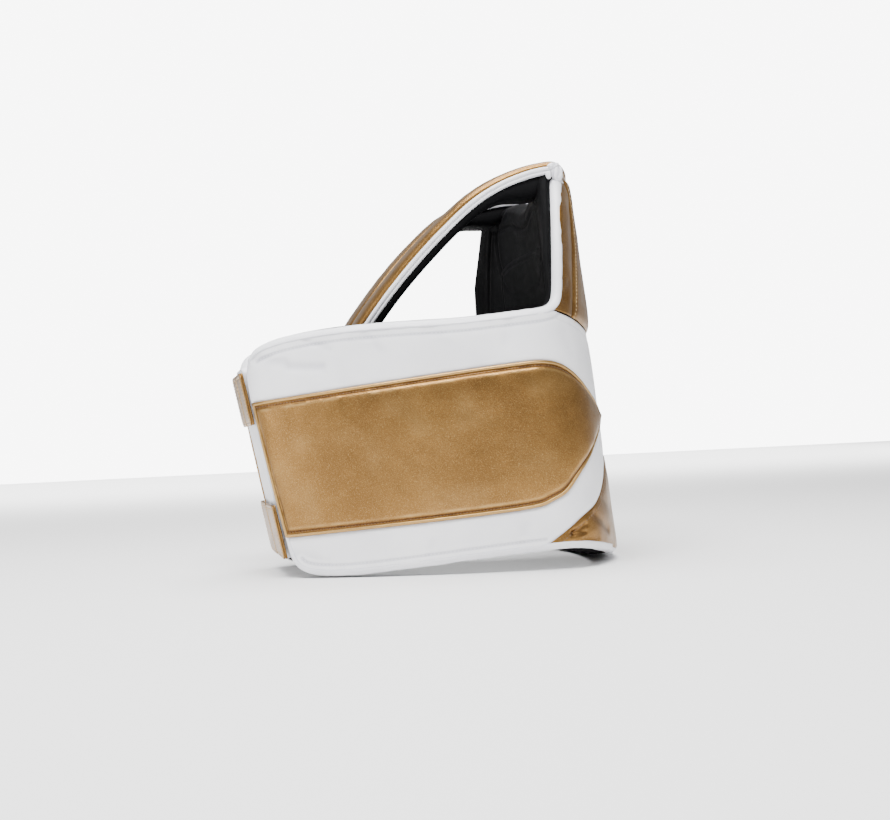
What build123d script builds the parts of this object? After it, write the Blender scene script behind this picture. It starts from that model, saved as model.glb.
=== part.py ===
"""Trainer's body protector: a padded belly and chest shield with wrap-round side wings, a shoulder harness
and hook-and-loop closing tabs at the back. Millimetres, +X to the wearer's front, +Y to the wearer's left,
+Z up. The origin is on the surface the protector stands on, under the middle of its bounding box.

The garment is laid out upright in its own frame and leans back by LEAN when it stands, because the shield
reaches lower than the wings. The planes GARMENT, SIDE and the others carry that lean."""

import os
from math import atan2, cos, degrees, hypot, radians, sin

from build123d import *

# Stance
LEAN = 5.6
STAND_DROP = 15.9
STAND_SHIFT = 29.24

# Plan of the outer surface: front arc, corner arc, wing arc and rear arc, each tangent to the next
FRONT_X = 193.0
FRONT_RADIUS = 240.0
CORNER_RADIUS = 65.0
WING_RADIUS = 900.0
REAR_RADIUS = 45.0
CORNER_START = 40.0
HINGE_ANGLE = 90.0
WING_START = 101.0
REAR_START = 119.5
REAR_END = 165.0

# Front of the thick shield's inner surface, whose arc is tangent to the corner arc
INNER_X = 148.0

# Layers, from the outside in
COVER = 1.5
WING_THICK = 24.0
LINING = 1.2
STRIKE_FOAM = 14.0
INSET_RISE = 5.0
PAD_RISE = 4.0
PAD_MIDDLE = 215.0
PAD_WIDTH = 190.0
PAD_HEIGHT = 320.0
PAD_CORNER = 45.0
BINDING = 7.0
SPLIT_GAP = 0.25

# Heights in the garment frame
TOP = 470.0
CHEST_TOP = 440.8
NECK_DEPTH = 12.0
NECK_HALF = 60.0
WING_BOTTOM = 31.0

# Harness
STRAP_THICK = 17.0
STRAP_SWELL = 9.0
SWELL_START = 8.0
SWELL_END = 18.0
STRAP_START_X = 172.0
STRAP_CREST_X = 150.0
STRAP_TOP = 461.0
CREST_RADIUS = 190.0
CREST_SWEEP = 36.0
BACK_RADIUS = 700.0
BACK_SWEEP = 55.0
STRAP_END_X = -215.0
STRAP_EDGE = 5.0
STRAP_OUT = [(STRAP_START_X + 1, -128), (60, -112), (-60, -72), (STRAP_END_X - 1, -34)]
STRAP_IN = [(STRAP_END_X - 1, -3), (-60, -14), (60, -56), (STRAP_START_X + 1, -70)]

# Back panel, in line with the wings' slanted rear edges. Depths are forward of that line.
BACK_POINT = (-217.0, 240.0)
PANEL_OUT = -0.5
PANEL_THICK = 12.0
PANEL_SKIN = 1.2
PANEL_HALF = 41.0
PANEL_BOTTOM = -186.0
PANEL_TOP = 36.0
PANEL_CORNER = 8.0
STRAP_CLEAR = 0.1
LOOP_HALF = 36.0

# Closing tabs, as (lowest, highest, root's distance from the middle), heights along the slanted line
TAB_THICK = 2.5
HOOK_THICK = 1.2
LOOP_THICK = 1.0
TAB_CLEAR = 0.3
TAB_END_Y = 2.5
TAB_CORNER = 7.0
TAB_ROOT = 8.0
ROOT_GAP = 0.1
HOOK_EDGE = 4.0
UPPER_TAB = (-30.0, 30.0, 57.0)
LOWER_TAB = (-183.0, -121.0, 70.0)

# Outlines in the garment frame. Those seen from ahead run from the wearer's right to the middle.
REACH = 400.0
ARMHOLE_TURN = 55.0
ARMHOLE = [(-1, 291), (20, 375), (62, 475)]
ARMHOLE_CORNER = 20.0
NECK = [(-NECK_HALF, CHEST_TOP), (-NECK_HALF + 20, CHEST_TOP - 3), (0, CHEST_TOP - NECK_DEPTH)]
HEM_HALF = 200.0
HEM = [(-HEM_HALF, WING_BOTTOM), (-168, WING_BOTTOM - 4), (-90, 5), (0, 0)]
GOLD_TOP = [(-230, 289), (-176, 287), (-144, 276), (-113, 268), (-56, 261), (0, 258)]
GOLD_BOTTOM = [(-230, 20), (-176, 50), (-150, 75), (-117, 97), (-70, 124), (0, 150)]

WING_OUTLINE = [(150, 31), (-197, 31), (-223, 303), (150, 290)]
WING_CORNER = 26.0
INSET_OUTLINE = [(-198, 81), (72, 80), (98, 92), (176, 165), (134, 209), (100, 235), (-212, 234)]
INSET_CORNER = 6.0

C = cos(radians(LEAN))
S = sin(radians(LEAN))
ORIGIN = (STAND_SHIFT, 0, -STAND_DROP)
GARMENT = Plane(origin=ORIGIN, x_dir=(C, 0, S), z_dir=(-S, 0, C))
SIDE = Plane(origin=ORIGIN, x_dir=(C, 0, S), z_dir=(0, -1, 0))
FRONT = Plane(origin=ORIGIN, x_dir=(0, 1, 0), z_dir=(C, 0, S))
REAR_SLANT = atan2(WING_OUTLINE[1][0] - WING_OUTLINE[2][0], WING_OUTLINE[2][1] - WING_OUTLINE[1][1])
BACK = Plane(
    origin=GARMENT.from_local_coords((BACK_POINT[0], 0, BACK_POINT[1])),
    x_dir=(0, 1, 0),
    z_dir=(cos(radians(LEAN) + REAR_SLANT), 0, sin(radians(LEAN) + REAR_SLANT)),
)


def polar(centre, radius, angle):
    """A point of the right half's plan. The angle turns from straight ahead towards the wearer's right."""
    return (centre[0] + radius * cos(radians(angle)), centre[1] - radius * sin(radians(angle)))


FRONT_CENTRE = (FRONT_X - FRONT_RADIUS, 0)
CORNER_CENTRE = polar(FRONT_CENTRE, FRONT_RADIUS - CORNER_RADIUS, CORNER_START)
WING_CENTRE = polar(CORNER_CENTRE, CORNER_RADIUS - WING_RADIUS, WING_START)
REAR_CENTRE = polar(WING_CENTRE, WING_RADIUS - REAR_RADIUS, REAR_START)
INNER_REACH = INNER_X - CORNER_RADIUS + WING_THICK
INNER_CENTRE_X = (INNER_REACH**2 - hypot(*CORNER_CENTRE) ** 2) / (2 * (INNER_REACH - CORNER_CENTRE[0]))
INNER_CENTRE = (INNER_CENTRE_X, 0)
INNER_CORNER_START = degrees(atan2(-CORNER_CENTRE[1], CORNER_CENTRE[0] - INNER_CENTRE_X))
HINGE_X = CORNER_CENTRE[0]


def right_arc(centre, radius, start, end):
    """One arc of the right half's plan, from the front towards the back."""
    return CenterArc(centre, radius, -start, start - end)


def shield_outside(depth):
    """Arcs of the right half of the shield's outer surface, and the ends of that chain."""
    right_arc(FRONT_CENTRE, FRONT_RADIUS - depth, 0, CORNER_START)
    right_arc(CORNER_CENTRE, CORNER_RADIUS - depth, CORNER_START, HINGE_ANGLE)
    return (FRONT_X - depth, 0), polar(CORNER_CENTRE, CORNER_RADIUS - depth, HINGE_ANGLE)


def shield_inside(depth):
    """Arcs of the right half of the shield's inner surface, and the ends of that chain. Depth is inwards."""
    right_arc(INNER_CENTRE, INNER_X - INNER_CENTRE_X - depth, 0, INNER_CORNER_START)
    right_arc(CORNER_CENTRE, CORNER_RADIUS - WING_THICK - depth, INNER_CORNER_START, HINGE_ANGLE)
    return (INNER_X - depth, 0), polar(CORNER_CENTRE, CORNER_RADIUS - WING_THICK - depth, HINGE_ANGLE)


def wing_arcs(depth):
    """Arcs of the right wing at a depth below its outer surface, and the ends of that chain."""
    right_arc(CORNER_CENTRE, CORNER_RADIUS - depth, HINGE_ANGLE, WING_START)
    right_arc(WING_CENTRE, WING_RADIUS - depth, WING_START, REAR_START)
    right_arc(REAR_CENTRE, REAR_RADIUS - depth, REAR_START, REAR_END)
    ends = ((CORNER_CENTRE, CORNER_RADIUS, HINGE_ANGLE), (REAR_CENTRE, REAR_RADIUS, REAR_END))
    return [polar(centre, radius - depth, angle) for centre, radius, angle in ends]


def shield_layer(outer, outer_depth, inner, inner_depth):
    """A layer of the shield at full height, between two plan curves."""
    with BuildSketch(GARMENT) as plan:
        with BuildLine():
            nose, hinge = outer(outer_depth)
            inner_nose, inner_hinge = inner(inner_depth)
            Line(nose, inner_nose)
            Line(hinge, inner_hinge)
        make_face()
        with Locations((HINGE_X, 0)):
            Rectangle(SPLIT_GAP * 2, 2 * REACH, mode=Mode.SUBTRACT)
        mirror(about=Plane.XZ)
    extrude(plan.sketch, amount=TOP)


def wing_layer(outer_depth, inner_depth):
    """A layer of the right wing between two depths."""
    with BuildSketch(GARMENT) as plan:
        with BuildLine():
            hinge, rear = wing_arcs(outer_depth)
            inner_hinge, inner_rear = wing_arcs(inner_depth)
            Line(hinge, inner_hinge)
            Line(rear, inner_rear)
        make_face()
        with Locations((HINGE_X, 0)):
            Rectangle(SPLIT_GAP * 2, 2 * REACH, mode=Mode.SUBTRACT)
    extrude(plan.sketch, amount=TOP)


def across(side):
    """The plane that looks square on to the armhole's edge. side is -1 for the right and 1 for the left."""
    ahead, aside = cos(radians(ARMHOLE_TURN)), sin(radians(ARMHOLE_TURN))
    normal = (-side * ahead * C, aside * side * -side, -side * ahead * S)
    return Plane(origin=ORIGIN, x_dir=(aside * C, -side * ahead, aside * S), z_dir=normal)


def armhole(side, inset):
    """Cuts one armhole, grown by inset, square through the shield."""
    low, top = ARMHOLE[0], ARMHOLE[-1]
    with BuildSketch(across(side)) as hole:
        with BuildLine():
            ThreePointArc(*ARMHOLE)
            Polyline(top, (-REACH / 2, top[1]), (-REACH / 2, low[1]), low)
        make_face()
        fillet(hole.vertices().sort_by(Axis.Y)[:2].sort_by(Axis.X)[-1], ARMHOLE_CORNER)
        if inset:
            offset(amount=inset)
    extrude(hole.sketch, amount=REACH, both=True, mode=Mode.SUBTRACT)


def mirrored(points):
    """A row of points from the wearer's right to the middle, carried on to the left."""
    return points + [(-y, z) for y, z in reversed(points[:-1])]


def shield_outline(inset):
    """Cuts the shield to its outline: the neck's dip, the armholes and the drooping lower edge."""
    with BuildSketch(FRONT) as outline:
        with BuildLine():
            neck = Spline(mirrored([(y, z - inset) for y, z in NECK]), tangents=[(1, 0), (1, 0)])
            hem = Spline(mirrored([(y, z + inset) for y, z in HEM]))
            Polyline(neck @ 0, (-HEM_HALF, CHEST_TOP - inset), hem @ 0)
            Polyline(neck @ 1, (HEM_HALF, CHEST_TOP - inset), hem @ 1)
        make_face()
    extrude(outline.sketch, amount=REACH, both=True, mode=Mode.INTERSECT)
    for side in (-1, 1):
        armhole(side, inset)


def stand():
    """Takes off what would be below the surface the protector stands on."""
    split(bisect_by=Plane.XY, keep=Keep.TOP)


def finish(builder, name):
    """Labels a finished piece and writes it."""
    builder.part.label = name
    export_step(builder.part, f"parts/{name}.step")


def both_sides(builder, name):
    """Writes the right-hand piece and its mirror image for the left."""
    finish(builder, f"right_{name}")
    with BuildPart() as twin:
        add(builder.part)
        mirror(about=Plane.XZ, mode=Mode.REPLACE)
    finish(twin, f"left_{name}")


os.makedirs("parts", exist_ok=True)

# Shield: covers


def above(points):
    """Everything over a line across the front, seen from ahead."""
    with BuildSketch(FRONT) as region:
        with BuildLine():
            edge = Spline(mirrored(points))
            Polyline(edge @ 0, (points[0][0], 2 * TOP), (-points[0][0], 2 * TOP), edge @ 1)
        make_face()
    return region.sketch


for cover_name, low_line, high_line in (
    ("chest_cover", GOLD_TOP, None),
    ("front_band_cover", GOLD_BOTTOM, GOLD_TOP),
    ("belly_cover", None, GOLD_BOTTOM),
):
    with BuildPart() as cover:
        shield_layer(shield_outside, 0, shield_outside, COVER)
        shield_outline(BINDING)
        if low_line:
            extrude(above(low_line), amount=REACH, both=True, mode=Mode.INTERSECT)
        if high_line:
            extrude(above(high_line), amount=REACH, both=True, mode=Mode.SUBTRACT)
    finish(cover, cover_name)

# Shield: foams and lining

with BuildPart() as strike_foam:
    shield_layer(shield_outside, COVER, shield_outside, STRIKE_FOAM)
    shield_outline(BINDING)
finish(strike_foam, "strike_foam")

with BuildPart() as shield_foam:
    shield_layer(shield_outside, STRIKE_FOAM, shield_inside, -LINING)
    shield_outline(BINDING)
finish(shield_foam, "shield_foam")

with BuildPart() as shield_lining:
    shield_layer(shield_inside, -LINING, shield_inside, 0)
    shield_outline(BINDING)
finish(shield_lining, "shield_lining")

with BuildPart() as comfort_pad:
    shield_layer(shield_inside, 0, shield_inside, PAD_RISE)
    with BuildSketch(FRONT) as pad_outline:
        with Locations((0, PAD_MIDDLE)):
            RectangleRounded(PAD_WIDTH, PAD_HEIGHT, PAD_CORNER)
    extrude(pad_outline.sketch, amount=REACH, both=True, mode=Mode.INTERSECT)
finish(comfort_pad, "comfort_pad")

# Shield: bindings round the whole thickness

with BuildPart() as edge_ring:
    shield_layer(shield_outside, 0, shield_inside, 0)
    shield_outline(0)
with BuildPart() as edge_core:
    shield_layer(shield_outside, 0, shield_inside, 0)
    shield_outline(BINDING)
with BuildPart() as edge_binding:
    add(edge_ring.part)
    add(edge_core.part, mode=Mode.SUBTRACT)
    stand()
for binding_name, low, high in (
    ("lower_binding", -REACH, 150.0),
    ("neck_and_armhole_binding", 150.0, 2 * REACH),
):
    with BuildPart() as strip:
        add(edge_binding.part)
        with BuildSketch(GARMENT.offset(low)) as slab:
            Rectangle(4 * REACH, 4 * REACH)
        extrude(slab.sketch, amount=high - low, mode=Mode.INTERSECT)
    finish(strip, binding_name)

# Wings


def wing_outline(inset):
    """The right wing's outline seen from the side, drawn in by inset."""
    with BuildSketch(SIDE) as outline:
        with BuildLine():
            Polyline(WING_OUTLINE, close=True)
        make_face()
        fillet(outline.vertices().sort_by(Axis.X)[:2], WING_CORNER)
        if inset:
            offset(amount=-inset)
    return outline.sketch


for layer_name, outer, inner in (
    ("wing_cover", 0, COVER),
    ("wing_foam", COVER, WING_THICK - LINING),
    ("wing_lining", WING_THICK - LINING, WING_THICK),
):
    with BuildPart() as layer:
        wing_layer(outer, inner)
        extrude(wing_outline(BINDING), amount=REACH, mode=Mode.INTERSECT)
    both_sides(layer, layer_name)

with BuildPart() as wing_binding:
    wing_layer(0, WING_THICK)
    extrude(wing_outline(0), amount=REACH, mode=Mode.INTERSECT)
    extrude(wing_outline(BINDING), amount=REACH, mode=Mode.SUBTRACT)
    stand()
both_sides(wing_binding, "wing_binding")

# Raised gold insets, which cross from the wing on to the shield's side


def inset_outline():
    """The long five-sided inset, seen from the side."""
    with BuildSketch(SIDE) as outline:
        with BuildLine():
            Polyline(INSET_OUTLINE, close=True)
        make_face()
        fillet(outline.vertices().sort_by(Axis.X)[:2], INSET_CORNER)
    return outline.sketch


with BuildPart() as wing_inset:
    wing_layer(-INSET_RISE, 0)
    extrude(inset_outline(), amount=REACH, mode=Mode.INTERSECT)
both_sides(wing_inset, "wing_inset")

with BuildPart() as inset_tip:
    shield_layer(shield_outside, -INSET_RISE, shield_outside, 0)
    extrude(inset_outline(), amount=REACH, mode=Mode.INTERSECT)
both_sides(inset_tip, "inset_tip")

# Shoulder straps, each a thick arch from the top of the chest down to the back panel


def strap_curve(depth, swell):
    """The arch at a depth below its outer surface, seen from the side, and the ends of that chain. swell is
    the depth that it gains once it is clear of the chest."""
    crest = (STRAP_CREST_X, STRAP_TOP - CREST_RADIUS)
    shift = BACK_RADIUS - CREST_RADIUS
    back = (crest[0] + shift * sin(radians(CREST_SWEEP)), crest[1] - shift * cos(radians(CREST_SWEEP)))
    full = depth + swell
    Line((STRAP_START_X, STRAP_TOP - depth), (STRAP_CREST_X, STRAP_TOP - depth))
    shallow = CenterArc(crest, CREST_RADIUS - depth, 90, SWELL_START)
    deep = CenterArc(crest, CREST_RADIUS - full, 90 + SWELL_END, CREST_SWEEP - SWELL_END)
    Line(shallow @ 1, deep @ 0)
    low = CenterArc(back, BACK_RADIUS - full, 90 + CREST_SWEEP, BACK_SWEEP - CREST_SWEEP) @ 1
    fall = (low.X - STRAP_END_X) * sin(radians(BACK_SWEEP)) / cos(radians(BACK_SWEEP))
    end = (STRAP_END_X, low.Y - fall)
    Line((low.X, low.Y), end)
    return (STRAP_START_X, STRAP_TOP - depth), end


def strap_layer(outer, inner, edge_in):
    """A layer of the right strap. edge_in takes that much off each side. The strap swells downwards."""
    with BuildSketch(SIDE) as profile:
        with BuildLine():
            start, end = strap_curve(outer, 0 if outer < STRAP_THICK / 2 else STRAP_SWELL)
            inner_start, inner_end = strap_curve(inner, 0 if inner < STRAP_THICK / 2 else STRAP_SWELL)
            Line(start, inner_start)
            Line(end, inner_end)
        make_face()
    extrude(profile.sketch, amount=REACH)
    with BuildSketch(GARMENT) as taper:
        with BuildLine():
            out_side = [(x, y + edge_in) for x, y in STRAP_OUT]
            in_side = [(x, y - edge_in) for x, y in STRAP_IN]
            Polyline(out_side + in_side, close=True)
        make_face()
    extrude(taper.sketch, amount=2 * TOP, mode=Mode.INTERSECT)
    split(bisect_by=BACK.offset(PANEL_OUT + PANEL_THICK + STRAP_CLEAR), keep=Keep.TOP)


for layer_name, outer, inner in (
    ("strap_cover", 0, COVER),
    ("strap_foam", COVER, STRAP_THICK - LINING),
    ("strap_lining", STRAP_THICK - LINING, STRAP_THICK),
):
    with BuildPart() as layer:
        strap_layer(outer, inner, STRAP_EDGE)
    both_sides(layer, layer_name)

with BuildPart() as strap_core:
    strap_layer(0, STRAP_THICK, STRAP_EDGE)
with BuildPart() as strap_binding:
    strap_layer(0, STRAP_THICK, 0)
    add(strap_core.part, mode=Mode.SUBTRACT)
both_sides(strap_binding, "strap_binding")

# Back panel between the wings' rear edges


def panel_slab(rear, front, half_width, low, high, corner):
    """A flat upright piece of the back panel, between two depths."""
    with BuildSketch(BACK.offset(rear)) as face:
        with Locations((0, (low + high) / 2)):
            RectangleRounded(2 * half_width, high - low, corner)
    extrude(face.sketch, amount=front - rear)


PANEL_IN = PANEL_OUT + PANEL_THICK
for layer_name, rear, front in (
    ("back_panel_cover", PANEL_OUT, PANEL_OUT + PANEL_SKIN),
    ("back_panel_foam", PANEL_OUT + PANEL_SKIN, PANEL_IN - PANEL_SKIN),
    ("back_panel_lining", PANEL_IN - PANEL_SKIN, PANEL_IN),
):
    with BuildPart() as layer:
        panel_slab(rear, front, PANEL_HALF, PANEL_BOTTOM, PANEL_TOP, PANEL_CORNER)
    finish(layer, layer_name)

for patch_name, (low, high, _) in (("upper_loop_patch", UPPER_TAB), ("lower_loop_patch", LOWER_TAB)):
    with BuildPart() as patch:
        panel_slab(PANEL_OUT - LOOP_THICK, PANEL_OUT, LOOP_HALF, low + HOOK_EDGE, high - HOOK_EDGE, 3)
    finish(patch, patch_name)

# Closing tabs, each sewn by a folded root to the wing's rear edge and lying over the back panel


def back_plate(rear, front, left, right, low, high, corner):
    """A plate over the back, between two depths and two places across it. Its corners nearer the middle are
    round."""
    with BuildSketch(BACK.offset(rear)) as face:
        with Locations(((left + right) / 2, (low + high) / 2)):
            outline = Rectangle(right - left, high - low)
        fillet(outline.vertices().group_by(Axis.Y)[-1], corner)
    extrude(face.sketch, amount=front - rear)


HOOK_FACE = PANEL_OUT - LOOP_THICK - TAB_CLEAR
TAB_IN = HOOK_FACE - HOOK_THICK
for level, (low, high, root) in (("upper", UPPER_TAB), ("lower", LOWER_TAB)):
    with BuildPart() as tab:
        back_plate(TAB_IN - TAB_THICK, TAB_IN, -root, -TAB_END_Y, low, high, TAB_CORNER)
        back_plate(TAB_IN, -ROOT_GAP, -root, -root + TAB_ROOT, low, high, 1)
    both_sides(tab, f"{level}_tab")
    with BuildPart() as hook:
        hook_low, hook_high = low + HOOK_EDGE, high - HOOK_EDGE
        back_plate(TAB_IN, HOOK_FACE, -LOOP_HALF, -TAB_END_Y - HOOK_EDGE, hook_low, hook_high, 3)
    both_sides(hook, f"{level}_tab_hook")
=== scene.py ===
"""Looks of the trainer's body protector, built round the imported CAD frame.

Lengths are millimetres in the garment's own upright frame until to_world() turns them into metres in the
frame's world, where the garment leans back. A place on the shell is (s, z, depth): s runs round the outer
surface from the middle of the front, positive to the wearer's right, and depth goes in from that surface."""

import math

import bpy
import numpy as np
from mathutils import Matrix, Vector


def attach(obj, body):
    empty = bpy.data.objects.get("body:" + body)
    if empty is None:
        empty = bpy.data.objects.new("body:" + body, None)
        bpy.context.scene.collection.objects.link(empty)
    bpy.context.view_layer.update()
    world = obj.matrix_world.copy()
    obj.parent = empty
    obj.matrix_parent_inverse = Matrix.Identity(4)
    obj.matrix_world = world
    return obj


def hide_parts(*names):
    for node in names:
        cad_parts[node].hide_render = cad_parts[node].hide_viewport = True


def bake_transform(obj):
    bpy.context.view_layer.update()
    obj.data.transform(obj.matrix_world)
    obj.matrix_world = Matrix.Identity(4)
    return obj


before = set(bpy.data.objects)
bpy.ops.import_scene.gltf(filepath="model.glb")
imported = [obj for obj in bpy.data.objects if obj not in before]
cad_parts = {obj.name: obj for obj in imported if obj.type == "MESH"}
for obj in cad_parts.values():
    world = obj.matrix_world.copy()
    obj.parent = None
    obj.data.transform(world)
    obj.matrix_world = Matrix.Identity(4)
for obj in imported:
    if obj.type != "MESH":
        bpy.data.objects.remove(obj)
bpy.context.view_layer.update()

# Stance and plan, as in the CAD part, whose last arc ends 5 degrees sooner
LEAN = math.radians(5.6)
STAND_SHIFT = 29.24
STAND_DROP = 15.9
FRONT_X = 193.0
FRONT_RADIUS = 240.0
CORNER_RADIUS = 65.0
WING_RADIUS = 900.0
REAR_RADIUS = 45.0
PLAN_ANGLES = (0.0, 40.0, 101.0, 119.5, 170.0)
HINGE_ANGLE = 90.0
INNER_X = 148.0
WING_THICK = 24.0

# Layers and seams
EDGE_ROUND = 8.0
BINDING_OUT = 1.2
BINDING_IN = 6.8
BINDING_BACK = 12.0
LINING_ROUND = 10.0
CHEST_PUFF = 11.0
WING_PUFF = 2.5
PUFF_Z = (300, 350)
PUFF_S = (118, 140)
LINING_THICK = 2.0
LINING_ROW = 24.0
RIM_PULL = 0.9
RIM_POWER = 2.4
TUCK = 3.0
LEATHER = 1.6
INSET_SEAM = 5.5
INSET_SINK = 3.0
INSET_BACK = 0.4
SEAM_DEEP, SEAM_WIDE = 0.45, 1.3
BINDING_STEPS, PIPING_STEPS = 1150, 520
PIPING_IN, PIPING_UP = 1.6, 2.0
PIPING_WIDE, PIPING_TALL = 2.2, 2.1
CHEST_ROW = 6.5
CHEST_PUFFED_Z, CHEST_SEAM_Z, STRIP_Z = 236, 250, 262
REAR_SLANT = math.atan2(26.0, 272.0)

# Outline of the right half, from the neck round the armhole, wing and hem, as (x or y, z)
NECK_Y = [(0, 428.8), (-14, 429.5), (-28, 433), (-40, 437.8), (-52, 440), (-64, 440.8), (-100, 441)]
NECK_Y += [(-128, 441)]
ARMHOLE_X = [(149.5, 425), (137, 378), (128.5, 343), (122.5, 313), (117, 299), (104, 291.5)]
WING_TOP_X = [(60, 292), (10, 292.5), (-40, 297), (-90, 301), (-130, 302.5), (-170, 301.5), (-199, 297)]
REAR_X = [(-212, 289), (-216.8, 272), (-217.5, 250), (-213, 200), (-208.4, 150), (-203.6, 100), (-200, 66)]
BOTTOM_X = [(-196.5, 52), (-187, 41), (-168, 35), (-130, 32), (-60, 32.5), (10, 33), (60, 32.5), (95, 31)]
HEM_Y = [(-168, 26), (-132, 15), (-90, 6), (-45, 2), (0, 1)]
GOLD_TOP_Y = [(0, 258), (-56, 261), (-113, 268), (-144, 276)]
GOLD_TOP_X = [(124, 283), (107, 290)]
GOLD_LOW_Y = [(0, 150), (-70, 124), (-117, 97), (-150, 75)]
GOLD_LOW_X = [(113, 63), (101, 56), (67, 37.5)]
INSET_TOP_X = [(-212.5, 234), (-100, 235.5), (0, 236.5), (66, 236.5), (86, 236), (104, 232), (119, 223)]
INSET_TOP_X += [(134, 209), (153, 190), (176.5, 166)]
INSET_LOW_X = [(-198.5, 82), (-133, 81), (0, 79), (66, 79), (79, 84), (96, 90), (114, 109), (140, 133)]
INSET_LOW_X += [(160, 150), (176.5, 165)]
CHEST_SEAM_Y = [(-118, 441), (-107, 418), (-111, 394), (-122, 357), (-137, 325), (-146, 303), (-153, 276)]
YOKE_Z = 287.0


def polar(centre, radius, angle):
    """A point of the right half's plan, with the angle turning from straight ahead to the wearer's right."""
    turn = math.radians(angle)
    return (centre[0] + radius * math.cos(turn), centre[1] - radius * math.sin(turn))


FRONT_CENTRE = (FRONT_X - FRONT_RADIUS, 0.0)
CORNER_CENTRE = polar(FRONT_CENTRE, FRONT_RADIUS - CORNER_RADIUS, PLAN_ANGLES[1])
WING_CENTRE = polar(CORNER_CENTRE, CORNER_RADIUS - WING_RADIUS, PLAN_ANGLES[2])
REAR_CENTRE = polar(WING_CENTRE, WING_RADIUS - REAR_RADIUS, PLAN_ANGLES[3])
INNER_REACH = INNER_X - CORNER_RADIUS + WING_THICK
INNER_CENTRE_X = (INNER_REACH**2 - math.hypot(*CORNER_CENTRE) ** 2) / (2 * (INNER_REACH - CORNER_CENTRE[0]))
INNER_START = math.degrees(math.atan2(-CORNER_CENTRE[1], CORNER_CENTRE[0] - INNER_CENTRE_X))


class Chain:
    """A row of tangent arcs in plan, followed by distance."""

    def __init__(self, arcs):
        self.centres = np.array([a[0] for a in arcs])
        self.radii = np.array([a[1] for a in arcs])
        self.angles = np.radians([a[2] for a in arcs])
        lengths = [r * math.radians(b - a) for _, r, a, b in arcs]
        self.starts = np.concatenate([[0.0], np.cumsum(lengths)[:-1]])
        self.stations = np.concatenate([[0.0], np.cumsum(lengths)])

    def at(self, distance):
        """Points and outward directions on the right half."""
        k = np.clip(np.searchsorted(self.starts, distance, side="right") - 1, 0, len(self.radii) - 1)
        turn = self.angles[k] + (distance - self.starts[k]) / self.radii[k]
        away = np.stack([np.cos(turn), -np.sin(turn)], -1)
        return self.centres[k] + self.radii[k][..., None] * away, away


def arc_row(first, inside):
    """The plan's arcs from the first one on, the others moved inside the outer surface."""
    return Chain(
        [
            first,
            (CORNER_CENTRE, CORNER_RADIUS - inside, first[3], HINGE_ANGLE),
            (CORNER_CENTRE, CORNER_RADIUS - inside, HINGE_ANGLE, PLAN_ANGLES[2]),
            (WING_CENTRE, WING_RADIUS - inside, PLAN_ANGLES[2], PLAN_ANGLES[3]),
            (REAR_CENTRE, REAR_RADIUS - inside, PLAN_ANGLES[3], PLAN_ANGLES[4]),
        ]
    )


OUTER = arc_row((FRONT_CENTRE, FRONT_RADIUS, PLAN_ANGLES[0], PLAN_ANGLES[1]), 0.0)
INNER = arc_row(((INNER_CENTRE_X, 0.0), INNER_X - INNER_CENTRE_X, 0.0, INNER_START), WING_THICK)
OUTER_STOPS = np.concatenate([[0.0], OUTER.stations[2:]])
INNER_STOPS = np.concatenate([[0.0], INNER.stations[2:]])
STEPS = np.linspace(0, OUTER.stations[-1], 3000)
STEP_PLACES = OUTER.at(STEPS)[0]
HINGE_COUNT = int(np.searchsorted(STEPS, OUTER.stations[2]))


def by_x(points):
    """Rows of (s, z) from (x, z) on the right half."""
    return [(float(np.interp(-x, -STEP_PLACES[:, 0], STEPS)), z) for x, z in points]


def by_y(points):
    """Rows of (s, z) from (y, z) on the right half of the shield."""
    aside = -STEP_PLACES[:HINGE_COUNT, 1]
    return [(float(np.interp(-y, aside, STEPS[:HINGE_COUNT])), z) for y, z in points]


def to_world(points):
    """Garment millimetres to world metres, with nothing left under the floor."""
    x, y, z = points[..., 0], points[..., 1], points[..., 2]
    ahead = x * math.cos(LEAN) - z * math.sin(LEAN) + STAND_SHIFT
    height = x * math.sin(LEAN) + z * math.cos(LEAN) - STAND_DROP
    return np.stack([ahead, y, np.maximum(height, 0.3)], -1) / 1000


def turned(direction):
    """A garment direction as a world direction."""
    x, y, z = direction
    return Vector((x * math.cos(LEAN) - z * math.sin(LEAN), y, x * math.sin(LEAN) + z * math.cos(LEAN)))


def surfaces(s):
    """Outer points, outward directions and the way through to the inner points, on the right half."""
    outer, away = OUTER.at(np.abs(s))
    inner = INNER.at(np.interp(np.abs(s), OUTER_STOPS, INNER_STOPS))[0]
    return outer, away, inner - outer


def thickness(s):
    """Distance from the outer to the inner surface."""
    return np.linalg.norm(surfaces(s)[2], axis=-1)


def shell(s, z, depth):
    """World places on the shell."""
    s, z, depth = np.broadcast_arrays(np.asarray(s, float), z, depth)
    outer, away, through = surfaces(s)
    inward = np.where((depth > 0)[..., None], unit(through), -away)
    plan = outer + inward * depth[..., None]
    aside = np.where(s < 0, -plan[..., 1], plan[..., 1])
    return to_world(np.stack([plan[..., 0], aside, z], -1))


# Paths on the shell


def unit(directions):
    """Directions scaled to a length of 1."""
    return directions / np.linalg.norm(directions, axis=-1)[..., None]


def circle(count):
    """Angles round a circle in equal steps."""
    return np.linspace(0, 2 * np.pi, count + 1)[:-1]


def squarish(wave, power):
    """A wave from -1 to 1, squarer as power falls below 1."""
    return np.sign(wave) * np.abs(wave) ** power


def run_of(path):
    """Distance along a path to each of its points."""
    return np.concatenate([[0.0], np.cumsum(np.linalg.norm(np.diff(path, axis=0), axis=1))])


def resample(path, shares):
    """Points at shares of a path's length."""
    path = np.asarray(path, float)
    run = run_of(path)
    stops = np.asarray(shares) * run[-1]
    return np.stack([np.interp(stops, run, path[:, i]) for i in range(path.shape[1])], -1)


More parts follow.
